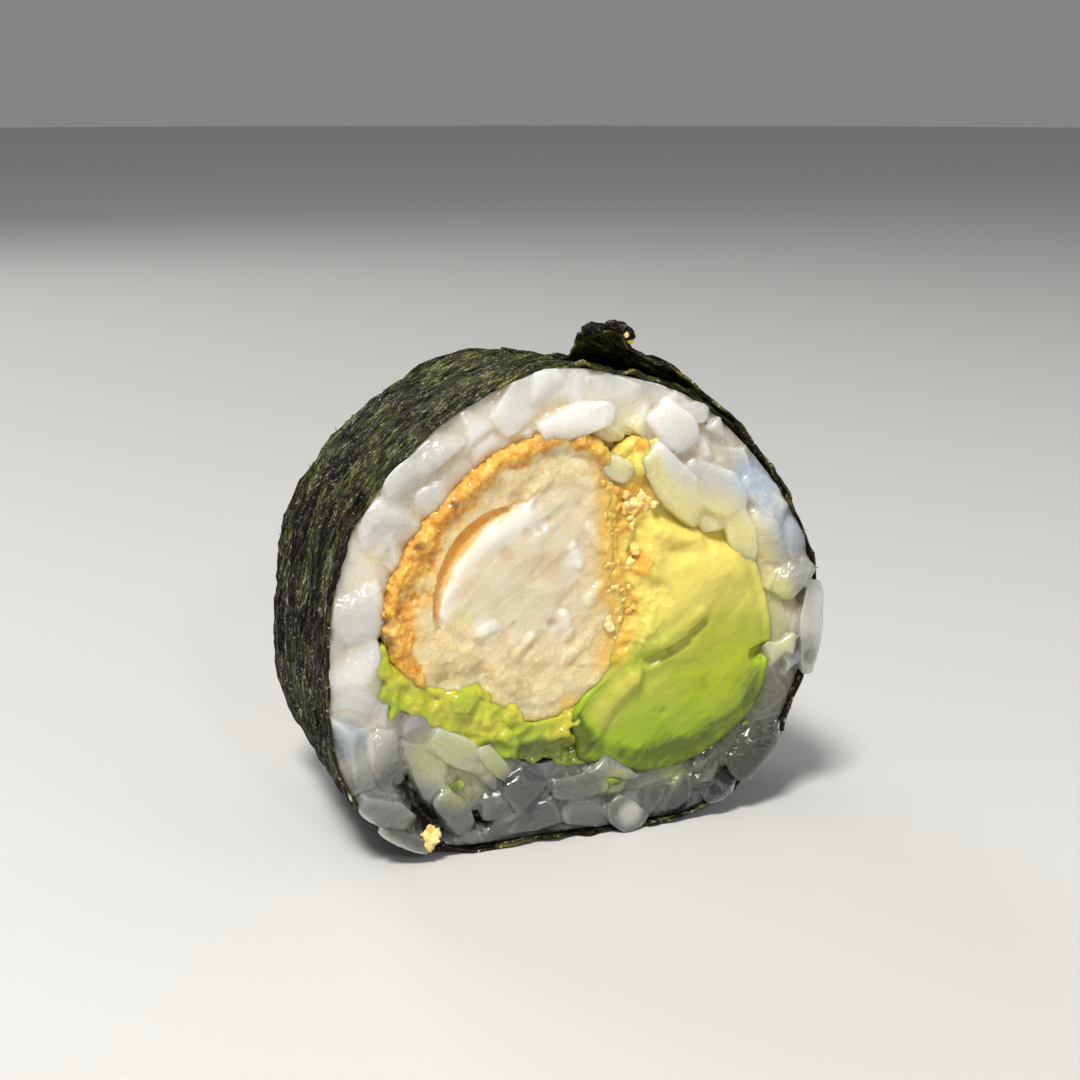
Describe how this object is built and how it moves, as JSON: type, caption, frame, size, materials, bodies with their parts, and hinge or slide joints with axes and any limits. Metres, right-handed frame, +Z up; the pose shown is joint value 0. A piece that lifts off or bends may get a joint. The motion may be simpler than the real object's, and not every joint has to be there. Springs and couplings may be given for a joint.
{
  "type": "maki roll piece",
  "caption": "Thick cut piece of maki roll: nori wrapped round rice, breaded chicken and avocado, standing on its rolled side.",
  "frame": {"origin": "under the middle of the piece, on the surface that it stands on", "axes": "+X across the roll, +Y along the roll from the near cut face to the far one, +Z up"},
  "size_m": [0.0465, 0.0254, 0.0457],
  "materials": {
    "nori": "dark green-black dried seaweed, fibrous, with small bright glints",
    "rice": "moist, sticky, slightly clear cooked rice",
    "breadcrumb": "golden fried crumbs over a pale batter",
    "chicken": "pale, fibrous cooked meat, moist",
    "avocado": "smooth and buttery, yellow to green towards the skin side"
  },
  "bodies": {
    "root": {"nori_sheet": "nori", "rice": "rice", "breadcrumb_coat": "breadcrumb", "chicken": "chicken", "avocado_wedge": "avocado", "avocado_slice": "avocado"}
  },
  "joints": []
}
